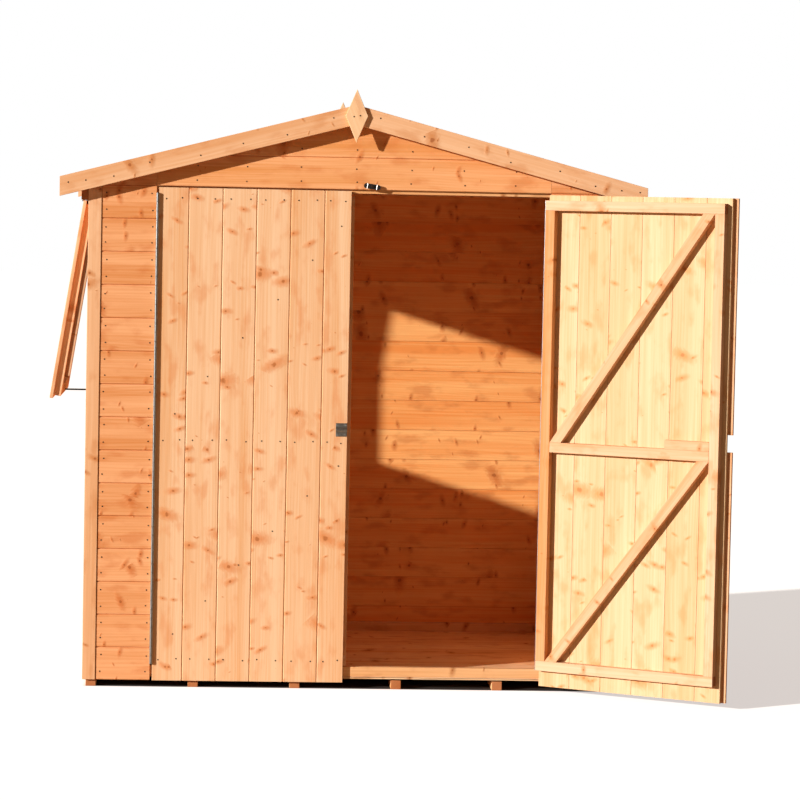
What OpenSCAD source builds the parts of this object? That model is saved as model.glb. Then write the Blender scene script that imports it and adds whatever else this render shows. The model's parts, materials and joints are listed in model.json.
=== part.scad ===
// Wooden garden shed with double doors, a top-hung side window and an apex roof.
// +X is to the right seen from the front, +Y runs to the back and +Z is up.
// The origin is on the ground at the middle of the walls' footprint.

/* [Walls] */
// Width across the side walls' cladding
shed_w = 1785; // [1500:5:2300]
// Depth across the gable walls' cladding
shed_d = 1190; // [900:10:1800]
// Height that one cladding board covers
board_cover = 111.5; // [90:0.5:120]
// Thickness of the cladding boards
cladding_t = 12; // [8:1:18]
// Rows of cladding from the bottom edge up to the doors' head
door_rows = 15; // [13:1:18]
// Height of the cladding's bottom edge above the ground
cladding_z = 24; // [10:1:30]
// Width of a framing timber's face
timber_w = 34; // [28:1:45]
// Depth of a framing timber, square to the wall
timber_t = 28; // [22:1:35]
// Width of the corner trims
trim_w = 44; // [30:1:60]
// Thickness of the corner trims
trim_t = 15; // [12:1:22]

/* [Floor] */
// Number of floor joists
joist_count = 6; // [4:1:8]
// Width of a floor joist
joist_w = 34; // [28:1:45]
// Height of a floor joist
joist_h = 31; // [31:1:45]
// Thickness of the floor boards
floor_t = 12; // [8:1:18]

/* [Roof] */
// Pitch of the roof in degrees
roof_pitch = 14.65; // [10:0.05:25]
// Height of the deck's underside at the side walls above the doors' head
eaves_rise = 6; // [-4:1:14]
// Thickness of the roof boards
deck_t = 12; // [8:1:18]
// Thickness of the roofing felt
felt_t = 3; // [2:0.5:5]
// How far the deck reaches past the side walls
eaves_reach = 80; // [50:5:120]
// How far the deck reaches past the gable walls
gable_reach = 30; // [20:1:60]
// Depth of the barge boards, square to their edge
barge_w = 64; // [55:1:90]
// Thickness of the barge boards
barge_t = 15; // [10:1:20]
// Height of the barge boards' top edge above the felt
barge_rise = 28; // [10:1:32]
// How far the barge boards reach past the deck's eaves
barge_reach = 15; // [0:1:30]
// Width of the eaves rails outside the side walls
eaves_rail_w = 24; // [18:1:30]
// Height of the eaves rails' underside below the deck at the side walls
eaves_rail_drop = 58; // [45:1:70]
// Width of a finial
finial_w = 75; // [60:1:95]
// Height of a finial
finial_h = 178; // [150:1:210]
// Thickness of a finial
finial_t = 11; // [8:1:15]

/* [Doors] */
// Width of the doorway between its jamb posts
doorway_w = 1330; // [1200:10:1400]
// Thickness of the door boards
door_board_t = 11; // [8:1:15]
// How far the left door's boards are narrower than the right door's
left_door_less = 16; // [10:1:24]
// How far the left door's meeting stile stands out past its boards
left_stile_out = 12; // [8:1:16]
// How far the right door's boards pass its meeting stile
right_stile_in = 16; // [14:1:20]
// How far the door boards pass the top rail
board_past_top = 18; // [14:1:30]
// Height of the middle of the middle rail above the boards' bottom edge
mid_rail_z = 818; // [700:1:900]
// Opening angle of the right door as it stands, in degrees
right_door_open = 149; // [0:1:160]
// Gap between the doors and everything they pass
door_gap = 5; // [5:0.5:6]
// Width of the strips that cover the doors' meeting edges
strip_w = 34; // [28:1:40]
// Thickness of the cover strips
strip_t = 14; // [12:1:18]
// How far the cover strips reach past the right door's boards
strip_reach = 15; // [12:1:17]

/* [Hinges and fittings] */
// Radius of the hinge knuckles
knuckle_r = 5; // [4:0.5:5]
// Radius of the hinge pins
pin_r = 1.5; // [1:0.25:2]
// Thickness of the hinge leaves
leaf_t = 1.5; // [1:0.25:2]
// Number of hinge knuckles on each door, an odd number
knuckle_count = 9; // [5:2:15]
// Distance from the top of the door boards down to the hinge
hinge_from_top = 18; // [10:1:40]
// Height of the hinges' lower ends above the sill
hinge_above_sill = 5; // [3:1:30]
// Height of the keep's middle above the boards' bottom edge
keep_z = 861; // [840:1:880]
// Width of the keep
keep_w = 38; // [30:1:45]
// Height of the keep
keep_h = 45; // [40:1:50]
// Radius of the keep's loop
keep_loop_r = 8; // [7:0.5:9]
// Length of the turn button
button_l = 57; // [50:1:65]
// Width of the turn button
button_w = 17; // [14:1:19]
// Thickness of the turn button
button_t = 4; // [3:0.5:5]
// Distance of the turn button from the middle of the doorway
button_x = 58; // [50:1:120]
// Angle that the turn button's right end hangs down, in degrees
button_tilt = 8; // [0:1:15]

/* [Window] */
// Height of the window opening in the left wall
window_h = 662; // [520:2:760]
// Angle that the sash stands open, in degrees
window_open = 9; // [3:0.5:12]
// How far the sash laps over the wall round the opening
sash_lap = 8; // [6:1:16]
// Thickness of the sash's outer lap
sash_lap_t = 12; // [9:1:15]
// How far the shut sash's lap stands off the wall
sash_off = 8; // [4:1:10]
// Width of the sash's stiles and rails
sash_frame_w = 46; // [34:1:55]
// Depth of the sash's frame behind its lap
sash_frame_t = 24; // [18:1:30]
// Thickness of the window glass
glass_t = 3; // [2:0.5:5]
// Thickness of the stay's flat bar
stay_t = 5; // [2:0.5:6]
// Width of the stay's flat bar
stay_w = 12; // [8:1:16]

/* [Hidden] */

// Names of the two ends and sides
left = -1;
right = 1;
front = -1;
back = 1;
// Faces that touch nearly: solids of one node stay this far apart
split_gap = 0.6;
// A cut runs this far past what it cuts
past = 1;
// The deck lies this far over its timbers, and the felt over the deck
lay_gap = 0.1;
round_fn = 48;

// Planes of the walls
wall_x = shed_w / 2;
wall_y = shed_d / 2;
frame_x = wall_x - cladding_t;
frame_y = wall_y - cladding_t;
inner_x = frame_x - timber_t;
inner_y = frame_y - timber_t;
floor_z = joist_h + floor_t;
sill_top = floor_z + timber_w - 2;
trim_gap = 1.5;
trim_inner_x = wall_x - trim_w;

// Roof lines: heights are taken vertically
slope = tan(roof_pitch);
upright = 1 / cos(roof_pitch);
door_head = cladding_z + door_rows * board_cover;
eaves_under = door_head + eaves_rise;
rafter_drop = timber_w * upright;
deck_x = wall_x + eaves_reach;
deck_y = wall_y + gable_reach;
barge_x = deck_x + barge_reach;
barge_y = deck_y + barge_t;
deck_lift = deck_t * upright;
felt_lift = deck_lift + felt_t * upright;
barge_top_lift = felt_lift + barge_rise;
barge_bottom_lift = barge_top_lift - barge_w * upright;
eaves_rail_bottom = eaves_under - eaves_rail_drop;

// Doorway
jamb_x = doorway_w / 2;
header_bottom = door_head - door_gap - 8;
header_top = header_bottom + timber_w - 2;

// Doors, closed
door_bottom = cladding_z;
door_top = door_head - door_gap;
door_h = door_top - door_bottom;
door_inner_y = -frame_y - door_gap;
door_front_y = door_inner_y - door_board_t;
door_frame_y = door_inner_y + timber_t;
hinge_gap = 8;
door_edge_x = jamb_x - hinge_gap;
hinge_x = jamb_x - hinge_gap / 2;
hinge_y = door_front_y - knuckle_r - 0.5;
meeting_gap = door_gap + 1;
left_free_x = -meeting_gap / 2 - left_door_less / 2;
right_free_x = left_free_x + meeting_gap;
left_stile_x = left_free_x + left_stile_out;
right_stile_x = right_free_x + right_stile_in;
door_rail_top = door_top - board_past_top;
door_rail_bottom = sill_top + door_gap;
mid_rail_low = door_bottom + mid_rail_z - timber_w / 2;
strip_rebate = door_gap;
keep_mid = door_bottom + keep_z;

// Hinges
hinge_bottom = sill_top + hinge_above_sill;
hinge_top = door_top - hinge_from_top;
knuckle_pitch = (hinge_top - hinge_bottom) / knuckle_count;
knuckle_end_gap = 0.3;
pin_play = 0.06;

// The window fills the front bay of the left wall, between its corner post and its middle post
window_near = -inner_y + timber_w;
window_far = -timber_w / 2;
window_w = window_far - window_near;
window_y = (window_near + window_far) / 2;
sash_hinge_t = 1.5;
sash_hinge_play = 0.5;
sash_play = 3;
sash_top = eaves_rail_bottom - sash_hinge_t - sash_hinge_play - sash_lap_t * sin(window_open);
window_top = sash_top - sash_lap;
window_bottom = window_top - window_h;

// Vertical height of the deck's underside at x
function roof_under(x) = eaves_under + (wall_x - abs(x)) * slope;

// A box between two corners
module block(low, high) {
    translate(low) cube(high - low);
}

// A plate standing across the shed: its outline is in x and z, its faces at y0 and y1
module cross_plate(outline, y0, y1) {
    translate([0, y1, 0])
        rotate([90, 0, 0])
            linear_extrude(height = y1 - y0) polygon(outline);
}

// A band that follows one roof slope from x0 to x1, between two heights over the deck's underside
module slope_band(x0, x1, low, high, y0, y1) {
    cross_plate([
        [x0, roof_under(x0) + low], [x1, roof_under(x1) + low],
        [x1, roof_under(x1) + high], [x0, roof_under(x0) + high]
    ], y0, y1);
}

// A piece of gable wall from x0 to x1 and from z0 up to the roof, or to drop below it
module under_slope(x0, x1, z0, y0, y1, drop = 0) {
    cross_plate([
        [x0, z0], [x1, z0], [x1, roof_under(x1) - drop],
        if (x0 < 0 && x1 > 0) [0, roof_under(0) - drop],
        [x0, roof_under(x0) - drop]
    ], y0, y1);
}

// One end wall's y range of a layer, from its outer to its inner plane
function layer_y(end, outer, inner) = end < 0 ? [-outer, -inner] : [inner, outer];

// ---- Floor ----

module floor_joists() {
    first_x = frame_x - joist_w / 2;
    pitch = 2 * first_x / (joist_count - 1);
    color("sandybrown")
        for (i = [0 : joist_count - 1])
            translate([-first_x + i * pitch - joist_w / 2, -frame_y, 0])
                cube([joist_w, 2 * frame_y, joist_h]);
}

module floor_boards() {
    color("tan") block([-frame_x, -frame_y, joist_h], [frame_x, frame_y, floor_z]);
}

// ---- Gable walls ----

module front_side_cladding(side) {
    outer = trim_inner_x - trim_gap;
    x0 = side < 0 ? -outer : jamb_x;
    x1 = side < 0 ? -jamb_x : outer;
    color("sandybrown") under_slope(x0, x1, cladding_z, -wall_y, -frame_y);
}

module front_left_cladding() { front_side_cladding(left); }

module front_right_cladding() { front_side_cladding(right); }

module front_gable_cladding() {
    half = jamb_x - split_gap;
    color("sandybrown") under_slope(-half, half, door_head, -wall_y, -frame_y);
}

module back_cladding() {
    half = trim_inner_x - trim_gap;
    color("sandybrown") under_slope(-half, half, cladding_z, frame_y, wall_y);
}

// An upright timber of a gable wall, from the bottom rail to the rafters
module gable_post(x0, end) {
    y = layer_y(end, frame_y, inner_y);
    under_slope(x0, x0 + timber_w, sill_top, y[0], y[1], rafter_drop);
}

module front_posts() {
    color("burlywood") {
        gable_post(-frame_x, front);
        gable_post(-jamb_x - timber_w, front);
        gable_post(jamb_x, front);
        gable_post(frame_x - timber_w, front);
    }
}

// The sill runs the whole width under the posts, and the header joins the jamb posts
module front_rails() {
    color("burlywood") {
        block([-frame_x, -frame_y, floor_z], [frame_x, -inner_y, sill_top]);
        intersection() {
            block([-jamb_x, -frame_y, header_bottom], [jamb_x, -inner_y, header_top]);
            under_slope(-jamb_x, jamb_x, floor_z, -frame_y, -inner_y, rafter_drop);
        }
    }
}

// The centre post carries the rail at door head height
module back_posts() {
    color("burlywood") {
        gable_post(-frame_x, back);
        difference() {
            gable_post(-timber_w / 2, back);
            block([-timber_w, inner_y - past, header_bottom],
                  [timber_w, frame_y + past, roof_under(0)]);
        }
        gable_post(frame_x - timber_w, back);
    }
}

module back_rails() {
    half = frame_x - timber_w;
    color("burlywood") {
        block([-frame_x, inner_y, floor_z], [frame_x, frame_y, sill_top]);
        intersection() {
            block([-half, inner_y, header_bottom], [half, frame_y, header_top]);
            under_slope(-half, half, floor_z, inner_y, frame_y, rafter_drop);
        }
    }
}

// Raking top timbers of both gable walls, butted at the ridge
module gable_rafters() {
    color("burlywood")
        for (end = [front, back], side = [left, right]) {
            y = layer_y(end, frame_y, inner_y);
            x0 = side < 0 ? -frame_x : split_gap / 2;
            x1 = side < 0 ? -split_gap / 2 : frame_x;
            slope_band(x0, x1, -rafter_drop, 0, y[0], y[1]);
        }
}

module corner_trims() {
    color("peachpuff")
        for (end = [front, back], side = [left, right]) {
            y = layer_y(end, frame_y + trim_t, frame_y);
            x0 = side < 0 ? -wall_x : trim_inner_x;
            under_slope(x0, x0 + trim_w, cladding_z, y[0], y[1]);
        }
}

// ---- Side walls ----

module side_cladding(side) {
    x0 = side < 0 ? -wall_x : frame_x;
    under_slope(x0, x0 + cladding_t, cladding_z, -frame_y, frame_y);
}

module left_cladding() {
    color("sandybrown")
        difference() {
            side_cladding(left);
            block([-wall_x - past, window_near, window_bottom],
                  [-frame_x + past, window_far, window_top]);
        }
}

module right_cladding() { color("sandybrown") side_cladding(right); }

// A piece of side-wall timber between two y's and two z's, cut to the slope at its top
module side_timber(side, y0, y1, z0, z1) {
    x0 = side < 0 ? -frame_x : inner_x;
    intersection() {
        block([x0, y0, z0], [x0 + timber_t, y1, z1]);
        under_slope(x0, x0 + timber_t, 0, y0, y1);
    }
}

// Underside of a side wall's top rail, square to the wall
side_rail_low = roof_under(frame_x) - timber_w;

module side_end_rails(side) {
    side_timber(side, -inner_y, inner_y, floor_z, sill_top);
    side_timber(side, -inner_y, inner_y, side_rail_low, side_rail_low + 2 * timber_w);
}

module side_post(side, y0) {
    side_timber(side, y0, y0 + timber_w, sill_top, side_rail_low);
}

module left_rails() {
    color("burlywood") {
        side_end_rails(left);
        side_timber(left, window_near, window_far, window_bottom - timber_w, window_bottom);
        side_timber(left, window_near, window_far, window_top, window_top + timber_w / 2);
    }
}

module side_posts(side) {
    color("burlywood")
        for (y0 = [-inner_y, -timber_w / 2, inner_y - timber_w])
            side_post(side, y0);
}

module left_posts() { side_posts(left); }

module right_posts() { side_posts(right); }

module right_rails() { color("burlywood") side_end_rails(right); }

// ---- Window ----

// Everything drawn in here turns with the open sash about the top of its lap's inner face
module turned_sash() {
    translate([-wall_x - sash_off, window_y, sash_top]) rotate([0, window_open, 0]) children();
}

// Sash sizes, measured down from the turning edge
sash_w = window_w + 2 * sash_lap;
sash_h = window_h + 2 * sash_lap;
sash_in_w = window_w - 2 * sash_play;
sash_in_top = -sash_lap - sash_play;
sash_in_bottom = -sash_lap - window_h + sash_play;
light_w = sash_in_w - 2 * sash_frame_w;
light_top = sash_in_top - sash_frame_w;
light_bottom = sash_in_bottom + sash_frame_w;
glass_x = 4;
glass_bed = 8;

module window_sash() {
    color("wheat")
        turned_sash()
            difference() {
                union() {
                    block([-sash_lap_t, -sash_w / 2, -sash_h], [0, sash_w / 2, 0]);
                    block([-past, -sash_in_w / 2, sash_in_bottom],
                          [sash_frame_t, sash_in_w / 2, sash_in_top]);
                }
                block([-sash_lap_t - past, -light_w / 2, light_bottom],
                      [sash_frame_t + past, light_w / 2, light_top]);
                block([glass_x, -light_w / 2 - glass_bed, light_bottom - glass_bed],
                      [sash_frame_t + past, light_w / 2 + glass_bed, light_top + glass_bed]);
            }
}

module window_glass() {
    pane_play = 0.3;
    color("lightblue", 0.4)
        turned_sash()
            block([glass_x, -light_w / 2 - glass_bed + pane_play, light_bottom - glass_bed + pane_play],
                  [glass_x + glass_t, light_w / 2 + glass_bed - pane_play,
                   light_top + glass_bed - pane_play]);
}

// Inner face of the open sash's frame at a height z
function sash_face_x(z) =
    -wall_x - sash_off + sash_frame_t / cos(window_open) + (z - sash_top) * tan(window_open);

// A flat bar from the sash's bottom rail to a peg on the window's sill
module window_stay() {
    bar_z = window_bottom + 14;
    bar_x = sash_face_x(bar_z + stay_t) + 0.3;
    inner_end = -inner_x - 2;
    peg_x = -frame_x + timber_t / 2;
    color("dimgray") {
        block([bar_x, window_y - stay_w / 2, bar_z],
              [inner_end, window_y + stay_w / 2, bar_z + stay_t]);
        translate([peg_x, window_y, window_bottom])
            cylinder(r = 3, h = bar_z + stay_t + 4 - window_bottom, $fn = round_fn);
    }
}

// Two hinges: a leaf under the eaves rail, a barrel outside the rail and a leaf on the sash's lap
module window_hinges() {
    hinge_l = 50;
    leaf_h = 28;
    barrel_r = 3;
    sink = 0.2;
    barrel_drop = 1.7;
    barrel_out = sash_lap_t + sash_hinge_t + barrel_r - sink;
    barrel_x = -wall_x - sash_off - barrel_out * cos(window_open) - barrel_drop * sin(window_open);
    color("dimgray")
        for (y = [-sash_w / 2 + 60, sash_w / 2 - 60 - hinge_l]) {
            turned_sash() {
                block([-sash_lap_t - sash_hinge_t, y, -leaf_h], [-sash_lap_t, y + hinge_l, 0]);
                translate([-barrel_out, y, -barrel_drop])
                    rotate([-90, 0, 0]) cylinder(r = barrel_r, h = hinge_l, $fn = round_fn);
            }
            block([barrel_x, window_y + y, eaves_rail_bottom - sash_hinge_t],
                  [-wall_x - sash_off, window_y + y + hinge_l, eaves_rail_bottom]);
        }
}

// ---- Roof ----

module roof_deck() {
    color("burlywood")
        for (side = [left, right]) {
            x0 = side < 0 ? -deck_x : split_gap / 2;
            x1 = side < 0 ? -split_gap / 2 : deck_x;
            slope_band(x0, x1, lay_gap, deck_lift, -deck_y, deck_y);
        }
}

// One sheet folded over the ridge and turned down over both eaves
module roof_felt() {
    edge_x = deck_x + felt_t;
    under = deck_lift + lay_gap;
    color("dimgray")
        cross_plate([
            [-edge_x, roof_under(edge_x) + felt_lift], [0, roof_under(0) + felt_lift],
            [edge_x, roof_under(edge_x) + felt_lift], [edge_x, roof_under(edge_x)],
            [deck_x, roof_under(deck_x)], [deck_x, roof_under(deck_x) + under],
            [0, roof_under(0) + under], [-deck_x, roof_under(deck_x) + under],
            [-deck_x, roof_under(deck_x)], [-edge_x, roof_under(edge_x)]
        ], -deck_y, deck_y);
}

// The eaves rails lie outside the side walls and the ridge battens run between the gables
module roof_battens() {
    ridge_from = 20;
    color("burlywood")
        for (side = [left, right]) {
            x0 = side < 0 ? -wall_x - eaves_rail_w : wall_x;
            under_slope(x0, x0 + eaves_rail_w, eaves_rail_bottom, -wall_y, wall_y);
            x1 = side < 0 ? -ridge_from - timber_t : ridge_from;
            slope_band(x1, x1 + timber_t, -rafter_drop, 0, -inner_y, inner_y);
        }
}

module barge_pair(end) {
    y = layer_y(end, barge_y, deck_y);
    color("sandybrown")
        for (side = [left, right]) {
            x0 = side < 0 ? -barge_x : split_gap / 2;
            x1 = side < 0 ? -split_gap / 2 : barge_x;
            slope_band(x0, x1, barge_bottom_lift, barge_top_lift, y[0], y[1]);
        }
}

module front_barge_boards() { barge_pair(front); }

module back_barge_boards() { barge_pair(back); }

// Diamond boards over the joints of the barge boards
module finials() {
    above_peak = 52;
    middle_z = roof_under(0) + barge_top_lift + above_peak - finial_h / 2;
    color("wheat")
        for (end = [front, back]) {
            y = layer_y(end, barge_y + finial_t, barge_y);
            cross_plate([
                [-finial_w / 2, middle_z], [0, middle_z - finial_h / 2],
                [finial_w / 2, middle_z], [0, middle_z + finial_h / 2]
            ], y[0], y[1]);
        }
}

// ---- Doors ----

// Each door is drawn shut. The right one then stands open about its hinge.
module stand_open(side) {
    if (side < 0)
        children();
    else
        translate([hinge_x, hinge_y, 0])
            rotate([0, 0, right_door_open])
                translate([-hinge_x, -hinge_y, 0]) children();
}

// x range of one door's boards and of its frame
function boards_x(side) = side < 0 ? [-door_edge_x, left_free_x] : [right_free_x, door_edge_x];
function frame_range(side) = side < 0 ? [-door_edge_x, left_stile_x] : [right_stile_x, door_edge_x];

module door_boards(side) {
    x = boards_x(side);
    color("peachpuff")
        stand_open(side)
            block([x[0], door_front_y, door_bottom], [x[1], door_inner_y, door_top]);
}

// Rebate in the front of the left door's meeting edge, which the right door's boards lap over
module lapped_edge(side) {
    difference() {
        children();
        if (side < 0)
            block([right_free_x - door_gap, door_inner_y - past, door_bottom],
                  [left_stile_x + past, door_inner_y + door_gap, door_top]);
    }
}

module door_stiles(side) {
    x = frame_range(side);
    color("wheat")
        stand_open(side)
            lapped_edge(side)
                for (x0 = [x[0], x[1] - timber_w])
                    block([x0, door_inner_y, door_rail_bottom + timber_w],
                          [x0 + timber_w, door_frame_y, door_rail_top - timber_w]);
}

// The top and bottom rails run over the stiles' ends, and the middle rail lies between them
module door_rails(side) {
    x = frame_range(side);
    color("wheat")
        stand_open(side)
            lapped_edge(side) {
                for (z0 = [door_rail_bottom, door_rail_top - timber_w])
                    block([x[0], door_inner_y, z0], [x[1], door_frame_y, z0 + timber_w]);
                block([x[0] + timber_w, door_inner_y, mid_rail_low],
                      [x[1] - timber_w, door_frame_y, mid_rail_low + timber_w]);
            }
}

// A brace rises from the hinge side to the meeting side of the space between two rails
module door_brace(side, z0, z1) {
    x = frame_range(side);
    low_x = x[0] + timber_w;
    high_x = x[1] - timber_w;
    foot_x = side < 0 ? low_x : high_x;
    head_x = side < 0 ? high_x : low_x;
    way = sign(head_x - foot_x);
    lean = atan2(z1 - z0, abs(head_x - foot_x) - timber_w);
    cut = way * timber_w / sin(lean);
    cross_plate([
        [foot_x, z0], [foot_x + cut, z0], [head_x, z1], [head_x - cut, z1]
    ], door_inner_y, door_frame_y);
}

module door_braces(side) {
    color("wheat")
        stand_open(side) {
            door_brace(side, door_rail_bottom + timber_w, mid_rail_low);
            door_brace(side, mid_rail_low + timber_w, door_rail_top - timber_w);
        }
}

module left_door_boards() { door_boards(left); }
module left_door_stiles() { door_stiles(left); }
module left_door_rails() { door_rails(left); }
module left_door_braces() { door_braces(left); }
module right_door_boards() { door_boards(right); }
module right_door_stiles() { door_stiles(right); }
module right_door_rails() { door_rails(right); }
module right_door_braces() { door_braces(right); }

// A short block on the middle rail beside the meeting stile, behind the bolt
module right_door_lock_block() {
    block_l = 160;
    x0 = right_stile_x + timber_w;
    z0 = mid_rail_low + timber_w;
    color("wheat")
        stand_open(right)
            block([x0, door_inner_y, z0], [x0 + block_l, door_frame_y, z0 + timber_w - 4]);
}

// Two strips on the right door, apart at the keep and rebated over the left door's boards
module right_door_cover_strips() {
    x0 = right_free_x - strip_reach;
    notch = keep_h / 2 + door_gap + 1;
    color("wheat")
        stand_open(right)
            for (z = [[door_bottom, keep_mid - notch], [keep_mid + notch, door_top]])
                difference() {
                    block([x0, door_front_y - strip_t, z[0]], [x0 + strip_w, door_front_y, z[1]]);
                    block([x0 - past, door_front_y - strip_rebate, z[0] - past],
                          [right_free_x, door_front_y + past, z[1] + past]);
                }
}

// ---- Hinges ----

// Height range of one knuckle
function knuckle_z(i) = [
    hinge_bottom + i * knuckle_pitch + knuckle_end_gap / 2,
    hinge_bottom + (i + 1) * knuckle_pitch - knuckle_end_gap / 2
];

// A leaf beside the hinge axis at leaf_x, reaching back from the knuckles, without its knuckles
module leaf_plate(leaf_x, back_y) {
    block([leaf_x, hinge_y, hinge_bottom], [leaf_x + leaf_t, back_y, hinge_top]);
}

module knuckle(side, i) {
    z = knuckle_z(i);
    translate([side * hinge_x, hinge_y, z[0]])
        cylinder(r = knuckle_r, h = z[1] - z[0], $fn = round_fn);
}

// Room round the other leaf's knuckles
module knuckle_room(side, i) {
    z = knuckle_z(i);
    room = 0.4;
    translate([side * hinge_x, hinge_y, z[0] - knuckle_end_gap])
        cylinder(r = knuckle_r + room, h = z[1] - z[0] + 2 * knuckle_end_gap, $fn = round_fn);
}

// The leaf on the jamb holds every second knuckle and the pin
module wall_leaf(side) {
    leaf_x = side < 0 ? -jamb_x : jamb_x - leaf_t;
    difference() {
        union() {
            leaf_plate(leaf_x, -inner_y);
            for (i = [0 : 2 : knuckle_count - 1]) knuckle(side, i);
        }
        for (i = [1 : 2 : knuckle_count - 2]) knuckle_room(side, i);
    }
    translate([side * hinge_x, hinge_y, hinge_bottom + knuckle_end_gap])
        cylinder(r = pin_r, h = hinge_top - hinge_bottom - 2 * knuckle_end_gap, $fn = round_fn);
}

module wall_hinge_leaves() {
    color("silver") {
        wall_leaf(left);
        wall_leaf(right);
    }
}

// The leaf on the door has the knuckles in between, bored for the pin
module door_hinge_leaf(side) {
    leaf_x = side < 0 ? -door_edge_x - leaf_t : door_edge_x;
    color("silver")
        stand_open(side)
            difference() {
                union() {
                    leaf_plate(leaf_x, door_frame_y);
                    for (i = [1 : 2 : knuckle_count - 2]) knuckle(side, i);
                }
                for (i = [0 : 2 : knuckle_count - 1]) knuckle_room(side, i);
                translate([side * hinge_x, hinge_y, hinge_bottom - past])
                    cylinder(r = pin_r + pin_play, h = hinge_top - hinge_bottom + 2 * past, $fn = round_fn);
            }
}

module left_door_hinge_leaf() { door_hinge_leaf(left); }
module right_door_hinge_leaf() { door_hinge_leaf(right); }

// ---- Fittings ----

// A pressed plate with a half-round loop across it, flush with the left door's free edge
module left_door_keep() {
    plate_t = 2;
    x0 = left_free_x - keep_w;
    color("silver")
        difference() {
            union() {
                block([x0, door_front_y - plate_t, keep_mid - keep_h / 2],
                      [left_free_x, door_front_y, keep_mid + keep_h / 2]);
                translate([x0, door_front_y, keep_mid])
                    rotate([0, 90, 0]) cylinder(r = keep_loop_r, h = keep_w, $fn = round_fn);
            }
            block([x0 - past, door_front_y, keep_mid - keep_h],
                  [left_free_x + past, door_front_y + 2 * keep_loop_r, keep_mid + keep_h]);
            translate([x0 - past, door_front_y, keep_mid])
                rotate([0, 90, 0])
                    cylinder(r = keep_loop_r - plate_t, h = keep_w + 2 * past, $fn = round_fn);
        }
}

// The bolt that slides to the keep: a plate with two guides and a round bar with a knob
module right_door_bolt() {
    plate_t = 2;
    plate_l = 110;
    guide_l = 16;
    bar_r = 4.5;
    x0 = right_free_x - strip_reach + strip_w + 6;
    bar_y = door_front_y - plate_t - bar_r + 0.5;
    color("silver")
        stand_open(right) {
            block([x0, door_front_y - plate_t, keep_mid - keep_h / 2],
                  [x0 + plate_l, door_front_y, keep_mid + keep_h / 2]);
            for (x = [x0 + 6, x0 + plate_l - guide_l - 6])
                block([x, bar_y - bar_r - plate_t, keep_mid - keep_loop_r],
                      [x + guide_l, door_front_y - plate_t, keep_mid + keep_loop_r]);
            translate([x0 - 2, bar_y, keep_mid])
                rotate([0, 90, 0]) cylinder(r = bar_r, h = plate_l - 2, $fn = round_fn);
            translate([x0 + plate_l / 2, bar_y, keep_mid])
                rotate([90, 0, 0]) cylinder(r = bar_r, h = 18, $fn = round_fn);
        }
}

// The turn button turns on a screw in the gable board, clear of the shut doors
button_z = door_head + button_w / 2 + (button_l - button_w) / 2 * sin(button_tilt);
button_y = door_front_y - door_gap;
screw_r = 2.5;

module turn_button() {
    bar_l = button_l - button_w;
    color("black")
        translate([button_x, button_y, button_z])
            rotate([0, button_tilt, 0])
                difference() {
                    union() {
                        block([-bar_l / 2, -button_t, -button_w / 2], [bar_l / 2, 0, button_w / 2]);
                        for (x = [-bar_l / 2, bar_l / 2])
                            translate([x, 0, 0])
                                rotate([90, 0, 0]) cylinder(r = button_w / 2, h = button_t, $fn = round_fn);
                    }
                    translate([0, past, 0])
                        rotate([90, 0, 0])
                            cylinder(r = screw_r + pin_play, h = button_t + 2 * past, $fn = round_fn);
                }
}

// A collar holds the button off the gable board, and a head keeps it on
module turn_button_screw() {
    play = 0.3;
    head_t = 2.5;
    color("gray")
        translate([button_x, 0, button_z])
            rotate([90, 0, 0]) {
                translate([0, 0, wall_y])
                    cylinder(r = 6, h = -button_y - wall_y - play, $fn = round_fn);
                translate([0, 0, wall_y])
                    cylinder(r = screw_r, h = -button_y + button_t + play - wall_y + past, $fn = round_fn);
                translate([0, 0, -button_y + button_t + play])
                    cylinder(r = 5, h = head_t, $fn = round_fn);
            }
}

floor_joists();
floor_boards();
front_left_cladding();
front_right_cladding();
front_gable_cladding();
front_posts();
front_rails();
back_cladding();
back_posts();
back_rails();
left_cladding();
left_posts();
left_rails();
right_cladding();
right_posts();
right_rails();
gable_rafters();
corner_trims();
window_sash();
window_glass();
window_stay();
window_hinges();
roof_deck();
roof_felt();
roof_battens();
front_barge_boards();
back_barge_boards();
finials();
left_door_boards();
left_door_stiles();
left_door_rails();
left_door_braces();
left_door_hinge_leaf();
left_door_keep();
right_door_boards();
right_door_stiles();
right_door_rails();
right_door_braces();
right_door_lock_block();
right_door_cover_strips();
right_door_hinge_leaf();
right_door_bolt();
wall_hinge_leaves();
turn_button();
turn_button_screw();
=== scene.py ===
# %% [markdown]
# # A wooden garden shed, modelled piece by piece
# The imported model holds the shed's real sizes and its joints: plain slabs stand for the boarded walls, plain
# bars for the timbers. This notebook boards the walls, gives the timbers their planed edges and their grain,
# and sets up the camera and the light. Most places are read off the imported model's own boxes and joints.
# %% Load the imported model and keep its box
import json
import math
import random

import bmesh
import bpy
from mathutils import Matrix, Vector


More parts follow.
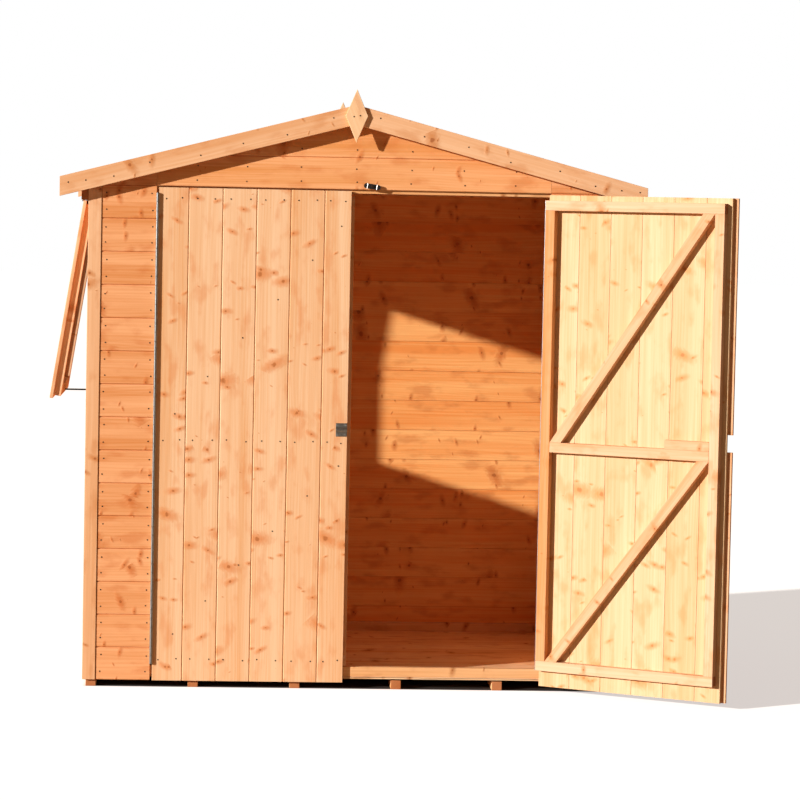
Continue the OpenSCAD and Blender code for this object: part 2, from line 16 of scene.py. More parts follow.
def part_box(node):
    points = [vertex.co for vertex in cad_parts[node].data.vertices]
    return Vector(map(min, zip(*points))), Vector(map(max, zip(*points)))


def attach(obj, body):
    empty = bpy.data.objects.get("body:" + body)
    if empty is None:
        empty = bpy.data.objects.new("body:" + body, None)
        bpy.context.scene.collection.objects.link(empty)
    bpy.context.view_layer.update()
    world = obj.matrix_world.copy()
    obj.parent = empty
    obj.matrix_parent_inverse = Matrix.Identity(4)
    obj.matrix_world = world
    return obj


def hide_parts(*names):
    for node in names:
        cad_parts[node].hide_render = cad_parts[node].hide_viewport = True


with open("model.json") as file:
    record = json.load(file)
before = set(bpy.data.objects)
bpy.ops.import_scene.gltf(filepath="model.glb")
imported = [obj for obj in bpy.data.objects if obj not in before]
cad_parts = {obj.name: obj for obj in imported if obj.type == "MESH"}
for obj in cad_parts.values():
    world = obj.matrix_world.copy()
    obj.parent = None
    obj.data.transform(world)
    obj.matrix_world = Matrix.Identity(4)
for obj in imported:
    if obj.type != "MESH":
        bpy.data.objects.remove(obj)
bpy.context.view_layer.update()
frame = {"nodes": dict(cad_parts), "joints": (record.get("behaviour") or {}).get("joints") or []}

nodes = frame["nodes"]
MM = 0.001
X, Y, Z = Vector((1, 0, 0)), Vector((0, 1, 0)), Vector((0, 0, 1))

# %% [markdown]
# ## The camera
# A long lens from far off keeps a building's uprights nearly parallel. The camera stands a little left of the
# middle at eye height, and it is turned, tilted down and rolled by the few degrees that a hand-held shot has.
# %% Camera
camera_data = bpy.data.cameras.new("camera")
camera_data.sensor_width = 36
camera_data.lens = 138.2
camera_data.clip_end = 200
camera = bpy.data.objects.new("camera", camera_data)
turn_right, tilt_up, roll = (math.radians(a) for a in (3.241, -3.577, 1.172))
camera.matrix_world = (
    Matrix.Translation((-0.420, -10.955, 1.638))
    @ Matrix.Rotation(-turn_right, 4, "Z")
    @ Matrix.Rotation(math.pi / 2 + tilt_up, 4, "X")
    @ Matrix.Rotation(roll, 4, "Z")
)
bpy.context.scene.collection.objects.link(camera)
bpy.context.scene.camera = camera

# %% [markdown]
# ## The light and the floor
# One large, low lamp stands to the front left, like a late sun: it rakes across the boards, throws the roof's
# shade on the gable and reaches through the open window to the back wall. The surround looks white, but it
# lights the shed with a weak, warm fill, as bare ground and other timber would, so the shade stays brown.
# %% Light
LAMP_LEFT = math.radians(59.5)
LAMP_UP = math.radians(14.6)
lamp_data = bpy.data.lights.new("key_light", "SUN")
lamp_data.energy = 5.7
lamp_data.angle = math.radians(1.2)
lamp_data.color = (1.0, 0.97, 0.93)
lamp = bpy.data.objects.new("key_light", lamp_data)
shine = Vector((
    math.sin(LAMP_LEFT) * math.cos(LAMP_UP),
    math.cos(LAMP_LEFT) * math.cos(LAMP_UP),
    -math.sin(LAMP_UP),
))
lamp.rotation_euler = shine.to_track_quat("-Z", "Y").to_euler()
bpy.context.scene.collection.objects.link(lamp)

world = bpy.data.worlds.new("surround")
world.use_nodes = True
sky = world.node_tree
fill = sky.nodes["Background"]
fill.inputs["Color"].default_value = (1.0, 0.66, 0.44, 1)
fill.inputs["Strength"].default_value = 0.165
backdrop = sky.nodes.new("ShaderNodeBackground")
backdrop.inputs["Color"].default_value = (1, 1, 1, 1)
backdrop.inputs["Strength"].default_value = 1.0
seen = sky.nodes.new("ShaderNodeLightPath")
choose = sky.nodes.new("ShaderNodeMixShader")
sky.links.new(seen.outputs["Is Camera Ray"], choose.inputs["Fac"])
sky.links.new(fill.outputs[0], choose.inputs[1])
sky.links.new(backdrop.outputs[0], choose.inputs[2])
sky.links.new(choose.outputs[0], sky.nodes["World Output"].inputs["Surface"])
bpy.context.scene.world = world
bpy.context.scene.view_settings.view_transform = "Standard"
bpy.context.scene.view_settings.look = "None"


# %% [markdown]
# ## Helpers for materials
# A colour is written as the hex value that a screen shows, and one function turns it linear for the shader.
# Another adds one node, sets what it is given and makes its links, so a material reads from top to bottom.
# %% Colour and node helpers
def paint(hex_value):
    parts = [int(hex_value[i:i + 2], 16) / 255 for i in (0, 2, 4)]
    return tuple(c / 12.92 if c <= 0.04045 else ((c + 0.055) / 1.055) ** 2.4 for c in parts) + (1.0,)


def add(material, kind, links=(), values=(), **settings):
    """Adds one node. links and values map an input's name or number to a socket or to a plain value."""
    made = material.node_tree.nodes.new("ShaderNode" + kind)
    for key, value in settings.items():
        setattr(made, key, value)
    for key, value in dict(values).items():
        made.inputs[key].default_value = value
    for key, socket in dict(links).items():
        material.node_tree.links.new(socket, made.inputs[key])
    return made


def maths(material, operation, *inputs, clamp=False):
    made = add(material, "Math", operation=operation, use_clamp=clamp)
    for slot, value in enumerate(inputs):
        if isinstance(value, (int, float)):
            made.inputs[slot].default_value = value
        else:
            material.node_tree.links.new(value, made.inputs[slot])
    return made.outputs[0]


def noise(material, place, stretch, detail=2.0):
    at = add(material, "VectorMath", {0: place}, {1: stretch}, operation="MULTIPLY")
    cloud = add(material, "TexNoise", {"Vector": at.outputs[0]}, {"Scale": 1.0, "Detail": detail})
    return cloud.outputs["Fac"]


def rise(material, value, low, high):
    """Goes from 0 to 1, without corners, while the value goes from low to high."""
    return add(material, "MapRange", {"Value": value}, {"From Min": low, "From Max": high},
               interpolation_type="SMOOTHSTEP").outputs[0]


def mixed(material, factor, a, b, blend="MIX"):
    made = add(material, "Mix", data_type="RGBA", blend_type=blend)
    for slot, value in ((0, factor), (6, a), (7, b)):
        if isinstance(value, (int, float, tuple)):
            made.inputs[slot].default_value = value
        else:
            material.node_tree.links.new(value, made.inputs[slot])
    return made.outputs[2]


def new_material(name):
    material = bpy.data.materials.new(name)
    material.use_nodes = True
    return material, material.node_tree.nodes["Principled BSDF"]


def plug(material, shader, **sockets):
    for name, value in sockets.items():
        slot = shader.inputs[name.replace("_", " ")]
        if isinstance(value, (int, float, tuple)):
            slot.default_value = value
        else:
            material.node_tree.links.new(value, slot)


# %% [markdown]
# ## Softwood
# The boards and timbers are spruce, planed by machine and dipped in a tinted preservative. A log is a stack
# of rings round its middle, and a board is a slice of it: rings cut nearly flat draw long arches, rings cut
# on edge draw straight lines. So the shader measures each point's distance from a made-up middle of the log,
# in metres, and bands it. Branches left knots, each with a dark core and a warm flame that the grain bends
# round, and the branches grew in whorls about 310 mm apart along the trunk. Each piece carries its own grain
# coordinates: along the fibres, across them, and into the board. Real spruce rings are 2 to 4 mm apart and
# would blur to nothing at this distance, so they are drawn 8 mm apart.
# %% Planed, dipped spruce
RING = 8 * MM
WHORL = 310 * MM


def knots(material, along, across, cell, biggest, share):
    """One layer of knots: gives their cores, the warm flames round them and how far they push the grain."""
    at = add(material, "CombineXYZ", {
        0: maths(material, "DIVIDE", along, cell[0]), 1: maths(material, "DIVIDE", across, cell[1])})
    nearest = add(material, "TexVoronoi", {"Vector": at.outputs[0]}, {"Scale": 1.0, "Randomness": 1.0},
                  voronoi_dimensions="2D")
    middle = add(material, "SeparateXYZ", {0: nearest.outputs["Position"]})
    luck = add(material, "SeparateColor", {0: nearest.outputs["Color"]})
    here = add(material, "SeparateXYZ", {0: at.outputs[0]})
    steps = [maths(material, "SUBTRACT", here.outputs[i], middle.outputs[i]) for i in (0, 1)]
    du, dv = (maths(material, "MULTIPLY", step, side) for step, side in zip(steps, cell))
    turn = maths(material, "MULTIPLY", middle.outputs[0], 2 * math.pi * cell[0] / WHORL)
    turn = maths(material, "COSINE", turn)
    size = maths(material, "SUBTRACT", luck.outputs[0], 1 - share)
    size = maths(material, "MULTIPLY", size, biggest / share)
    size = maths(material, "MULTIPLY", maths(material, "MAXIMUM", size, 0.0), rise(material, turn, -0.5, 0.6))
    size = maths(material, "ADD", size, 0.00001)
    ragged = noise(material, add(material, "CombineXYZ", {0: along, 1: across}).outputs[0], (75, 95, 1))
    ragged = maths(material, "MULTIPLY", maths(material, "SUBTRACT", ragged, 0.5), 1.3)
    lean = maths(material, "MULTIPLY_ADD", maths(material, "SUBTRACT", luck.outputs[1], 0.5), dv, du)
    near = maths(material, "SQRT", maths(material, "ADD", maths(material, "POWER", du, 2.0),
                                         maths(material, "POWER", dv, 2.0)))
    near = maths(material, "ADD", maths(material, "DIVIDE", near, size), ragged)
    core = rise(material, near, 0.95, 0.45)
    wide = maths(material, "SQRT", maths(
        material, "ADD", maths(material, "POWER", maths(material, "MULTIPLY", lean, 0.85), 2.0),
        maths(material, "POWER", maths(material, "MULTIPLY", dv, 0.40), 2.0)))
    wide = maths(material, "ADD", maths(material, "DIVIDE", wide, size), ragged)
    flame = rise(material, wide, 3.0, 0.2)
    return core, flame, maths(material, "MULTIPLY", flame, size)


def softwood(name, pale, deep, flame, streak=1.0, knotty=0.55, tones=0.30, end="a5562a", core="9c5428"):
    material, shader = new_material(name)
    grain = add(material, "Attribute", attribute_name="grain").outputs["Vector"]
    tone = add(material, "Attribute", attribute_name="tone").outputs["Fac"]
    cut_end = add(material, "Attribute", attribute_name="cut_end").outputs["Fac"]
    along, across, into = add(material, "SeparateXYZ", {0: grain}).outputs
    big = knots(material, along, across, (0.15, 0.085), 0.012, knotty)
    small = knots(material, along, maths(material, "ADD", across, 7.0), (0.085, 0.045), 0.0055, knotty)

    # rings round the log's middle: the fibres wander along the board and bow round the knots
    sway = maths(material, "SUBTRACT", noise(material, grain, (1.0, 4, 4)), 0.5)
    sway = maths(material, "MULTIPLY", sway, 0.09)
    shift = maths(material, "MULTIPLY", maths(material, "SUBTRACT", tone, 0.5), 0.10)
    side = maths(material, "ADD", maths(material, "ADD", across, shift), sway)
    bow = maths(material, "MULTIPLY", big[2], 1.6)
    depth = maths(material, "ADD", maths(material, "ADD", into, 0.040), bow)
    radius = maths(material, "SQRT", maths(material, "ADD", maths(material, "POWER", side, 2.0),
                                           maths(material, "POWER", depth, 2.0)))
    ring = maths(material, "SINE", maths(material, "MULTIPLY", radius, 2 * math.pi / RING))
    ring = maths(material, "POWER", maths(material, "MULTIPLY_ADD", ring, 0.5, 0.5), 2.0)

    # fine fibres, then soft bands of denser wood, then the reddish heart that some boards show on one side
    fibre = noise(material, grain, (3.5, 210, 210), 3.0)
    band = noise(material, grain, (0.8, 26, 26), 2.0)
    heart = rise(material, noise(material, grain, (0.35, 9, 9), 1.0), 0.50, 0.56)
    stain = rise(material, noise(material, grain, (9, 20, 20), 3.0), 0.50, 0.70)
    amount = maths(material, "MULTIPLY_ADD", ring, 0.22 * streak, maths(material, "MULTIPLY", tone, tones))
    amount = maths(material, "MULTIPLY_ADD", maths(material, "SUBTRACT", fibre, 0.5), 1.1 * streak, amount)
    amount = maths(material, "MULTIPLY_ADD", maths(material, "SUBTRACT", band, 0.5), 1.6 * streak, amount)
    amount = maths(material, "MULTIPLY_ADD", heart, 0.30 * streak, amount)
    amount = maths(material, "ADD", amount, 0.12, clamp=True)
    colour = mixed(material, amount, paint(pale), paint(deep))
    flames = maths(material, "MAXIMUM", maths(material, "MAXIMUM", big[1], small[1]),
                   maths(material, "MULTIPLY", stain, 0.55))
    colour = mixed(material, maths(material, "MULTIPLY", flames, 0.72), colour, paint(flame))
    cores = maths(material, "MAXIMUM", big[0], small[0])
    colour = mixed(material, maths(material, "MULTIPLY", cores, 0.70), colour, paint(core))
    colour = mixed(material, maths(material, "MULTIPLY", cut_end, 0.75), colour, paint(end))

    # planing leaves a satin surface with a fine tooth along the fibres, and swells where it tears round knots
    torn = maths(material, "MULTIPLY", maths(material, "MAXIMUM", big[1], small[1]), 2.2)
    height = maths(material, "ADD", fibre, torn)
    bump = add(material, "Bump", {"Height": height}, {"Strength": 0.35, "Distance": 0.9 * MM})
    rough = maths(material, "MULTIPLY_ADD", fibre, 0.22, 0.55)
    plug(material, shader, Base_Color=colour, Roughness=rough, Normal=bump.outputs[0])
    shader.inputs["IOR"].default_value = 1.45
    shader.inputs["Specular IOR Level"].default_value = 0.22
    return material


wall_wood = softwood("dipped_spruce_shiplap", "f0ad79", "d8894c", "c96a2c")
gable_wood = softwood("dipped_spruce_gable_boards", "f4b37e", "e09555", "cc7032")
inside_wood = softwood("dipped_spruce_inside_faces", "fdc079", "f0994f", "c26a30")
door_wood = softwood("dipped_spruce_door_boards", "f0c69d", "e1a26a", "d97f3e", streak=0.8, knotty=0.75,
                     core="a8602c")
door_inside_wood = softwood("dipped_spruce_door_insides", "e1c59d", "d19e69", "cf8644", streak=0.6,
                            knotty=0.6, core="b4733e")
door_frame_wood = softwood("dipped_spruce_door_timbers", "e2bb98", "cc8444", "c47a3c", streak=0.5, knotty=0.4,
                           tones=0.55)
trim_wood = softwood("dipped_spruce_trims", "f1c197", "dfa06c", "c87838", streak=0.75, knotty=0.4)
finial_wood = softwood("dipped_spruce_finials", "f6cda2", "e8b27c", "c87838", streak=0.6, knotty=0.2)
frame_wood = softwood("dipped_spruce_frame_timbers", "efba86", "dea066", "b06a34", knotty=0.45)
floor_wood = softwood("dipped_spruce_floor_boards", "fdd6aa", "e8ad72", "c0743c", streak=1.2, knotty=0.2)

# %% [markdown]
# ## Metal, felt and glass
# The hinges, bolt and keep are mild steel that was zinc plated after pressing: bright, with faint cloudy
# patches and rolling lines. Nails and screws are the same steel gone dull and brown. The turn button is
# enamelled black, which is smooth with a slight orange peel; its beads carry a painted highlight, near-white
# steel in place of the lamp's reflection. Roofing felt is a bitumen sheet with crushed slate pressed into it:
# rough, dark and speckled. The pane is float glass.
# %% Zinc-plated steel, black enamel, mineral felt and glass


def plated_steel(name, light, dark, roughness):
    material, shader = new_material(name)
    place = add(material, "TexCoord").outputs["Object"]
    cloud = add(material, "TexNoise", {"Vector": place}, {"Scale": 140.0, "Detail": 3.0})
    lines_at = add(material, "VectorMath", {0: place}, {1: (900.0, 900.0, 30.0)}, operation="MULTIPLY")
    lines = add(material, "TexNoise", {"Vector": lines_at.outputs[0]}, {"Scale": 1.0, "Detail": 2.0})
    colour = mixed(material, cloud.outputs["Fac"], paint(light), paint(dark))
    rough = maths(material, "MULTIPLY_ADD", cloud.outputs["Fac"], 0.22, roughness)
    bump = add(material, "Bump", {"Height": lines.outputs["Fac"]}, {"Strength": 0.1, "Distance": 0.1 * MM})
    plug(material, shader, Base_Color=colour, Roughness=rough, Normal=bump.outputs[0])
    shader.inputs["Metallic"].default_value = 1.0
    return material


zinc = plated_steel("bright_zinc_plated_steel", "b8bec2", "7c8286", 0.22)
nail_steel = plated_steel("dull_nail_steel", "5a4c42", "33291f", 0.45)
# Near-white steel, used only as the painted highlight on the turn button's beads.
painted_highlight_steel = plated_steel("rubbed_bright_steel", "fbfbfa", "e4e2de", 0.55)


def black_enamel():
    material, shader = new_material("black_enamelled_steel")
    place = add(material, "TexCoord").outputs["Object"]
    peel = add(material, "TexNoise", {"Vector": place}, {"Scale": 700.0, "Detail": 2.0})
    colour = mixed(material, peel.outputs["Fac"], paint("17181a"), paint("26282b"))
    rough = maths(material, "MULTIPLY_ADD", peel.outputs["Fac"], 0.2, 0.16)
    bump = add(material, "Bump", {"Height": peel.outputs["Fac"]}, {"Strength": 0.15, "Distance": 0.2 * MM})
    plug(material, shader, Base_Color=colour, Roughness=rough, Normal=bump.outputs[0])
    shader.inputs["Coat Weight"].default_value = 0.4
    return material


enamel = black_enamel()


def mineral_felt():
    material, shader = new_material("mineral_surfaced_bitumen_felt")
    place = add(material, "TexCoord").outputs["Object"]
    grit = add(material, "TexVoronoi", {"Vector": place}, {"Scale": 420.0})
    speck = add(material, "SeparateColor", {0: grit.outputs["Color"]})
    patch = add(material, "TexNoise", {"Vector": place}, {"Scale": 4.0, "Detail": 5.0})
    colour = mixed(material, speck.outputs[0], paint("2c2e30"), paint("565a5c"))
    worn = maths(material, "MULTIPLY", patch.outputs["Fac"], 0.5)
    colour = mixed(material, worn, colour, paint("3b3f40"))
    bump = add(material, "Bump", {"Height": grit.outputs["Distance"]}, {"Strength": 0.6, "Distance": 1 * MM})
    plug(material, shader, Base_Color=colour, Normal=bump.outputs[0])
    shader.inputs["Roughness"].default_value = 0.92
    shader.inputs["Specular IOR Level"].default_value = 0.2
    return material


felt = mineral_felt()


def float_glass():
    material, shader = new_material("float_glass")
    place = add(material, "TexCoord").outputs["Object"]
    wave = add(material, "TexNoise", {"Vector": place}, {"Scale": 3.0, "Detail": 1.0})
    bump = add(material, "Bump", {"Height": wave.outputs["Fac"]}, {"Strength": 0.05, "Distance": 0.5 * MM})
    dust = add(material, "TexNoise", {"Vector": place}, {"Scale": 40.0, "Detail": 3.0})
    rough = maths(material, "MULTIPLY", dust.outputs["Fac"], 0.04)
    plug(material, shader, Roughness=rough, Normal=bump.outputs[0])
    shader.inputs["Base Color"].default_value = (0.93, 0.97, 0.96, 1)
    shader.inputs["IOR"].default_value = 1.45
    shader.inputs["Alpha"].default_value = 0.07
    return material


glass = float_glass()


def pale_floor():
    """White paper to the eye, but it bounces light like dull ground, so the eaves stay dark.

    Under the joists it is painted near black: painted shade for the shed's crawl space.
    """
    material, shader = new_material("pale_floor_paper")
    place = add(material, "TexCoord").outputs["Object"]
    cloud = add(material, "TexNoise", {"Vector": place}, {"Scale": 0.6, "Detail": 2.0})
    paper = mixed(material, maths(material, "MULTIPLY", cloud.outputs["Fac"], 0.15),
                  paint("fbfaf8"), paint("f1efec"))
    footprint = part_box("floor_joists")[1]
    x, y, z = add(material, "SeparateXYZ", {0: place}).outputs
    beyond = maths(material, "MAXIMUM",
                   maths(material, "DIVIDE", maths(material, "ABSOLUTE", x), footprint.x),
                   maths(material, "DIVIDE", maths(material, "ABSOLUTE", y), footprint.y))
    # Painted shade: under the shed's footprint the floor takes near-black 1c130d; outside it, the paper glows
    # white.
    clear_of_painted_shade = rise(material, beyond, 0.98, 1.02)
    plug(material, shader, Base_Color=mixed(material, clear_of_painted_shade, paint("1c130d"), paper), Roughness=0.9,
         Emission_Color=(1, 1, 1, 1), Emission_Strength=maths(material, "MULTIPLY", clear_of_painted_shade, 0.55))
    ground = add(material, "BsdfDiffuse", values={"Color": (0.56, 0.42, 0.29, 1)})
    seen_by_eye = add(material, "LightPath").outputs["Is Camera Ray"]
    both = add(material, "MixShader", {0: seen_by_eye, 1: ground.outputs[0], 2: shader.outputs[0]})
    output = material.node_tree.nodes["Material Output"]
    material.node_tree.links.new(both.outputs[0], output.inputs["Surface"])
    return material


# %% [markdown]
# ## Helpers for modelling
# Each piece is modelled the way a hand would do it: a box is added at its size and place, cut and extruded in
# edit mode, its long edges are planed round, and its grain is laid. An operator works on everything that is
# selected, so each helper first selects only what it means to change.
# %% Modelling helpers


def only(*things):
    if bpy.context.object and bpy.context.object.mode != "OBJECT":
        bpy.ops.object.mode_set(mode="OBJECT")
    bpy.ops.object.select_all(action="DESELECT")
    for thing in things:
        thing.select_set(True)
    bpy.context.view_layer.objects.active = things[0]
    return things[0]


def box_piece(name, low, high):
    """A box between two corners, with its place in its mesh."""
    low, high = Vector(low), Vector(high)
    bpy.ops.object.select_all(action="DESELECT")
    bpy.ops.mesh.primitive_cube_add(size=1, location=(low + high) / 2)
    made = bpy.context.object
    made.name = name
    made.scale = high - low
    bpy.ops.object.transform_apply(location=True, rotation=True, scale=True)
    return made


def edit(thing, kind="EDGE"):
    """Opens edit mode on one piece with nothing selected, and gives its mesh."""
    only(thing)
    bpy.ops.object.mode_set(mode="EDIT")
    bpy.ops.mesh.select_mode(type=kind)
    bpy.ops.mesh.select_all(action="DESELECT")
    return bmesh.from_edit_mesh(thing.data)


def done(thing):
    bpy.ops.object.mode_set(mode="OBJECT")
    return thing


def plane_edges(thing, width, wanted=lambda edge: True, segments=2):
    """Rounds the sharp edges that are wanted, as a planer or a rub with sandpaper does."""
    mesh = edit(thing)
    for edge in mesh.edges:
        sharp = len(edge.link_faces) == 2 and edge.calc_face_angle(0) > math.radians(25)
        edge.select = sharp and wanted(edge)
    mesh.select_flush_mode()
    bmesh.update_edit_mesh(thing.data)
    bpy.ops.mesh.bevel(offset=width, segments=segments, clamp_overlap=True)
    return done(thing)


def copy_of(thing, shift=(0, 0, 0)):
    """A copy with its own mesh, moved in its mesh."""
    made = thing.copy()
    made.data = thing.data.copy()
    made.data.transform(Matrix.Translation(shift))
    bpy.context.scene.collection.objects.link(made)
    return made


def joined(name, things):
    only(*things)
    if len(things) > 1:
        bpy.ops.object.join()
    made = bpy.context.object
    made.name = name
    made.data.name = name
    return made


def cut_away(thing, point, normal, fill=True):
    """Cuts a piece by a plane and removes what is on the side that the normal points to."""
    edit(thing)
    bpy.ops.mesh.select_all(action="SELECT")
    bpy.ops.mesh.bisect(plane_co=point, plane_no=normal, use_fill=fill, clear_outer=True)
    return done(thing)


def turn_inside_out(thing):
    edit(thing)
    bpy.ops.mesh.select_all(action="SELECT")
    bpy.ops.mesh.flip_normals()
    return done(thing)


def mirrored(thing, axis):
    """Mirrors a piece through the origin; that turns its faces inwards, so they are turned back."""
    thing.data.transform(Matrix.Scale(-1, 4, axis))
    return turn_inside_out(thing)


def islands(mesh):
    """Lists of vertex numbers, one list for each loose part."""
    parent = list(range(len(mesh.vertices)))

    def root(i):
        while parent[i] != i:
            parent[i] = parent[parent[i]]
            i = parent[i]
        return i

    for edge in mesh.edges:
        parent[root(edge.vertices[0])] = root(edge.vertices[1])
    groups = {}
    for i in range(len(mesh.vertices)):
        groups.setdefault(root(i), []).append(i)
    return sorted(groups.values(), key=lambda g: [round(c, 3) for c in mesh.vertices[g[0]].co])


def longest_edges(mesh):
    """For each vertex, the direction of the longest edge that meets it."""
    best = [Vector()] * len(mesh.vertices)
    for edge in mesh.edges:
        a, b = edge.vertices
        way = mesh.vertices[b].co - mesh.vertices[a].co
        for end in (a, b):
            if way.length > best[end].length:
                best[end] = way
    return best


def lay_grain(thing, along=None, face=None, tones=()):
    """Gives each loose part its own grain: metres along, across and into the wood, and a shade of its own."""
    mesh = thing.data
    chance = random.Random(thing.name)
    longest = longest_edges(mesh)
    grain, shade = [Vector()] * len(mesh.vertices), [0.0] * len(mesh.vertices)
    fibre = [X] * len(mesh.vertices)
    for number, part in enumerate(islands(mesh)):
        points = [mesh.vertices[i].co for i in part]
        middle = sum(points, Vector()) / len(points)
        way = along or max((longest[i] for i in part), key=lambda v: v.length).normalized()
        spread = {tuple(a): max(p.dot(a) for p in points) - min(p.dot(a) for p in points) for a in (X, Y, Z)}
        out = face or Vector(min(spread, key=spread.get))
        out = (out - way * out.dot(way)).normalized()
        over = out.cross(way).normalized() * chance.choice((-1, 1))
        start, tint = chance.uniform(0, 40), chance.random()
        tint = tones[number] if number < len(tones) else tint
        for i in part:
            p = mesh.vertices[i].co - middle
            grain[i] = (start + p.dot(way), p.dot(over), p.dot(out))
            shade[i], fibre[i] = tint, way
    ends = []
    for polygon in mesh.polygons:
        sawn = abs(polygon.normal.dot(fibre[polygon.vertices[0]])) > 0.75
        ends.extend([1.0 if sawn else 0.0] * polygon.loop_total)
    for name, kind, domain in (("grain", "FLOAT_VECTOR", "POINT"), ("tone", "FLOAT", "POINT"),
                               ("cut_end", "FLOAT", "CORNER")):
        mesh.attributes.new(name, kind, domain)
    mesh.attributes["grain"].data.foreach_set("vector", [c for g in grain for c in g])
    mesh.attributes["tone"].data.foreach_set("value", shade)
    mesh.attributes["cut_end"].data.foreach_set("value", ends)
    return thing


def finish_piece(thing, material, body, slot, *replaced, turn=None):
    """Material, place in the pose at rest, smooth shading of the planed edges, and the piece's body."""
    thing.data.materials.clear()
    thing.data.materials.append(material)
    if turn:
        thing.data.transform(turn)
    only(thing)
    bpy.ops.object.shade_smooth_by_angle(angle=math.radians(35))
    weighted = thing.modifiers.new("weighted", "WEIGHTED_NORMAL")
    weighted.keep_sharp = True
    bpy.ops.object.modifier_apply(modifier="weighted")
    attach(thing, body)
    if replaced:
        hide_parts(*replaced)
    print(f"{thing.name}: {len(thing.data.polygons)} faces")
    return thing


joint = {j["child"]: j for j in frame["joints"]}
hinge_place = Vector(joint["right_door"]["pos_m"])
half_open = math.radians(-joint["right_door"]["range_deg"][0])
OPEN = (Matrix.Translation(hinge_place) @ Matrix.Rotation(half_open, 4, Vector(joint["right_door"]["axis"]))
        @ Matrix.Translation(-hinge_place))
SHUT = OPEN.inverted()
print(f"the right door stands open by {math.degrees(half_open):.0f} degrees")

# %% [markdown]
# ## Framing timbers
# Joists, posts, rails and rafters come off a planer with four long edges just broken. Their lengths and
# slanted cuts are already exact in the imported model, so each is a copy of that solid: its loose triangles are
# merged, flat neighbours are dissolved into one face, and the edges are planed round by a millimetre or so.
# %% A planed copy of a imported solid


def planed_copy(name, node, edge=1.2 * MM, turn_back=None):
    """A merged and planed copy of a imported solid. turn_back undoes the turn of its pose."""
    source = nodes[node]
    made = bpy.data.objects.new(name, source.data.copy())
    for attribute in [a for a in made.data.attributes if a.name in ("grain", "tone", "cut_end")]:
        made.data.attributes.remove(attribute)
    bpy.context.scene.collection.objects.link(made)
    if turn_back:
        made.data.transform(turn_back)
    edit(made)
    bpy.ops.mesh.select_all(action="SELECT")
    bpy.ops.mesh.remove_doubles(threshold=0.02 * MM)
    bpy.ops.mesh.dissolve_limited(angle_limit=math.radians(1))
    done(made)
    return plane_edges(made, edge)


TIMBERS = {
    "floor_joists": (frame_wood, "floor_timber"),
    "front_posts": (frame_wood, "framing_timber"), "front_rails": (frame_wood, "framing_timber"),
    "back_posts": (frame_wood, "framing_timber"), "back_rails": (frame_wood, "framing_timber"),
    "left_posts": (frame_wood, "framing_timber"), "left_rails": (frame_wood, "framing_timber"),
    "right_posts": (frame_wood, "framing_timber"), "right_rails": (frame_wood, "framing_timber"),
    "gable_rafters": (frame_wood, "framing_timber"), "roof_battens": (frame_wood, "framing_timber"),
    "corner_trims": (trim_wood, "trim_timber"), "finials": (finial_wood, "trim_timber"),
    "front_barge_boards": (trim_wood, "trim_timber"), "back_barge_boards": (trim_wood, "trim_timber"),
}
for node, (wood, slot) in TIMBERS.items():
    timber = lay_grain(planed_copy("planed_" + node, node), tones=(0.05, 0.05) if node == "finials" else ())
    finish_piece(timber, wood, "shed", slot, node)

# %% [markdown]
# ## One shiplap board
# A cladding board is 12 mm thick with a tongue along its top edge and a groove along its bottom edge, and its
# two outer corners are eased, so that a wall shows a thin shadow line at each joint. It is modelled once from
# a box: two cuts part the edge faces in three, the middle strip of the top is drawn out as the tongue and the
# middle strip of the bottom is pushed in as the groove.
# %% Tongued and grooved board
JOINT = 1.4 * MM
TONGUE = 6 * MM


def tongued_board(name, length, cover, thickness, ease=2.2 * MM):
    """Lies along X, its outer face at y 0, its inner face at y thickness and its lower edge at z 0."""
    board = box_piece(name, (0, 0, 0), (length, thickness, cover - JOINT))
    edit(board)
    for y in (thickness / 3, 2 * thickness / 3):
        bpy.ops.mesh.select_all(action="SELECT")
        bpy.ops.mesh.bisect(plane_co=(0, y, 0), plane_no=(0, 1, 0))
    for z, move in ((cover - JOINT, TONGUE), (0, TONGUE + 0.5 * MM)):
        bpy.ops.mesh.select_mode(type="FACE")
        bpy.ops.mesh.select_all(action="DESELECT")
        mesh = bmesh.from_edit_mesh(board.data)
        for f in mesh.faces:
            middle = f.calc_center_median()
            f.select = abs(middle.z - z) < 0.01 * MM and abs(middle.y - thickness / 2) < thickness / 12
        bmesh.update_edit_mesh(board.data)
        bpy.ops.mesh.extrude_region_move(TRANSFORM_OT_translate={"value": (0, 0, move)})
    done(board)

    def outer_corner(e):
        a, b = (v.co for v in e.verts)
        level = abs(a.z - b.z) < 0.01 * MM and abs(a.x - b.x) > length / 2
        return level and abs(a.y) < 0.01 * MM

    return plane_edges(board, ease, outer_corner, segments=1)


